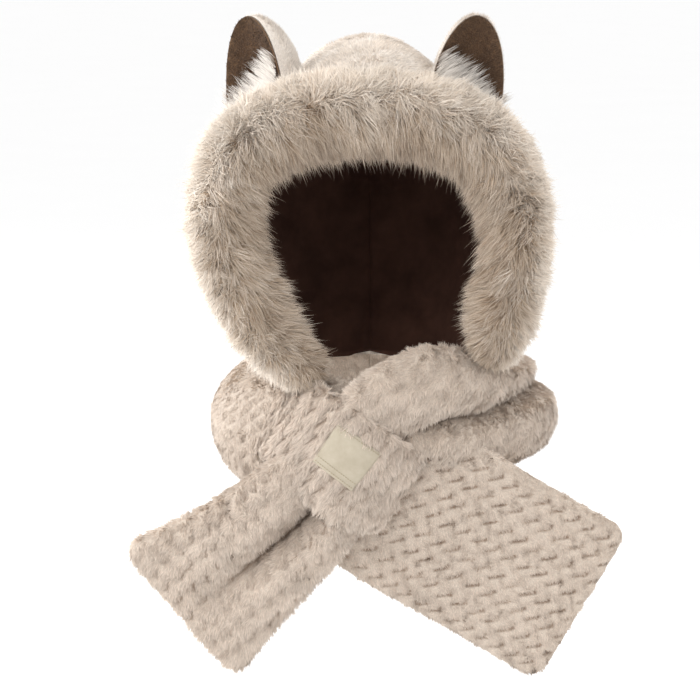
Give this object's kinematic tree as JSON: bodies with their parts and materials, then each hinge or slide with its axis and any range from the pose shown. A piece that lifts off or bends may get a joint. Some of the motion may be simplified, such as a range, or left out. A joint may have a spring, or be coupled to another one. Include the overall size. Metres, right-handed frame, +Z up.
{
  "type": "plush hooded scarf with animal ears",
  "caption": "Plush hood with animal ears, a long-pile face trim and a scarf whose end is threaded through a loop band in front.",
  "frame": {"origin": "inside of the hood's crown, where the head carries it", "axes": "+Z up along the wearer, -Y out of the face opening, +X to the left of the wearer, which is the right of the front view"},
  "size_m": [0.4165, 0.3008, 0.5584],
  "materials": {
    "cream_plush": "short cream pile",
    "knit_plush": "cream plush embossed as a chunky knit",
    "trim_fur": "long pile, taupe at the root and pale at the tip",
    "brown_facing": "short brown nap",
    "dark_velvet": "dark brown velvet",
    "woven_tape": "bare woven tape with a stitched edge"
  },
  "bodies": {
    "root": {"hood_shell": "cream_plush", "hood_lining": "dark_velvet", "fur_trim": "trim_fur", "ear_left_shell": "cream_plush", "ear_left_inner": "brown_facing", "ear_right_shell": "cream_plush", "ear_right_inner": "brown_facing", "scarf_slotted_end": "knit_plush", "scarf_threaded_end": "knit_plush", "loop_band": "knit_plush", "label": "woven_tape"}
  },
  "joints": []
}
